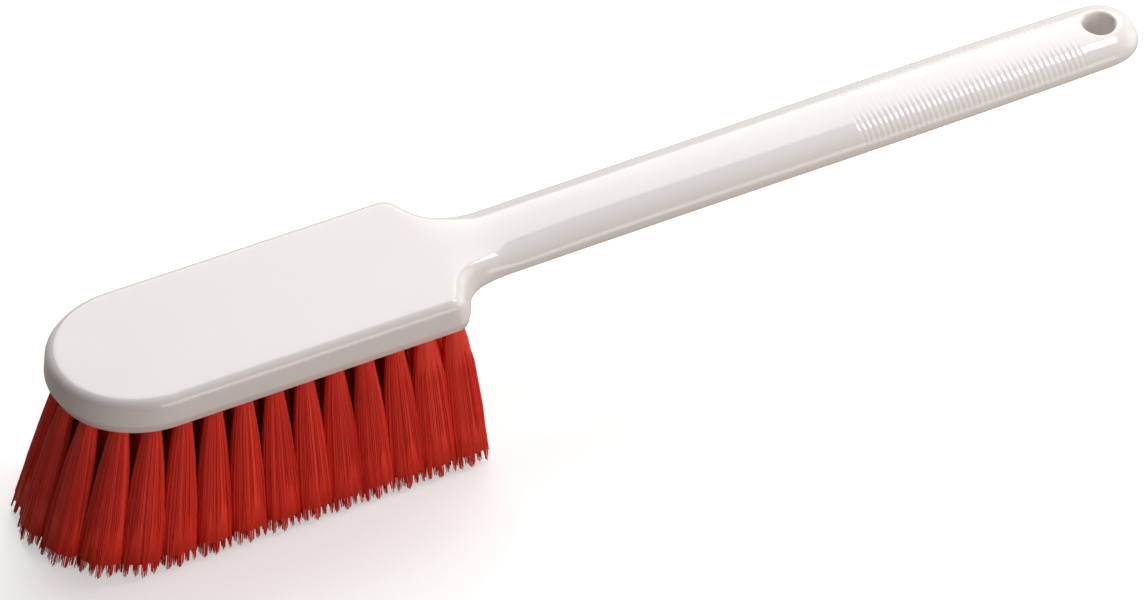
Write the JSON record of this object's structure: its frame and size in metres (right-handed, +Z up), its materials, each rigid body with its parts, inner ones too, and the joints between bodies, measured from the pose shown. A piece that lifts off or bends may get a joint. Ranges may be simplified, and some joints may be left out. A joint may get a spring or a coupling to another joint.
{
  "type": "long-handled wash brush",
  "caption": "Long-handled wash brush: moulded plastic block and ribbed oval handle in one piece, with fanned tufts of plastic filament and a hanging hole.",
  "frame": {"origin": "middle of the overall box, at the level of the trimmed bristle tips", "axes": "+X from the nose of the block to the end of the handle, +Y across, +Z up out of the back of the block, away from the bristles"},
  "size_m": [0.5166, 0.09, 0.089],
  "materials": {
    "body_plastic": "moulded off-white plastic, semi-gloss",
    "filament": "extruded red filament, satin",
    "staple_wire": "drawn flat wire"
  },
  "bodies": {
    "root": {"brush_body": "body_plastic", "staples_nose_inner": "staple_wire", "staples_nose_outer": "staple_wire", "staples_row_01": "staple_wire", "staples_row_02": "staple_wire", "staples_row_03": "staple_wire", "staples_row_04": "staple_wire", "staples_row_05": "staple_wire", "staples_row_06": "staple_wire", "staples_row_07": "staple_wire", "staples_row_08": "staple_wire", "staples_row_09": "staple_wire", "staples_row_10": "staple_wire", "tufts_nose_inner": "filament", "tufts_nose_outer": "filament", "tufts_row_01": "filament", "tufts_row_02": "filament", "tufts_row_03": "filament", "tufts_row_04": "filament", "tufts_row_05": "filament", "tufts_row_06": "filament", "tufts_row_07": "filament", "tufts_row_08": "filament", "tufts_row_09": "filament", "tufts_row_10": "filament"}
  },
  "joints": []
}
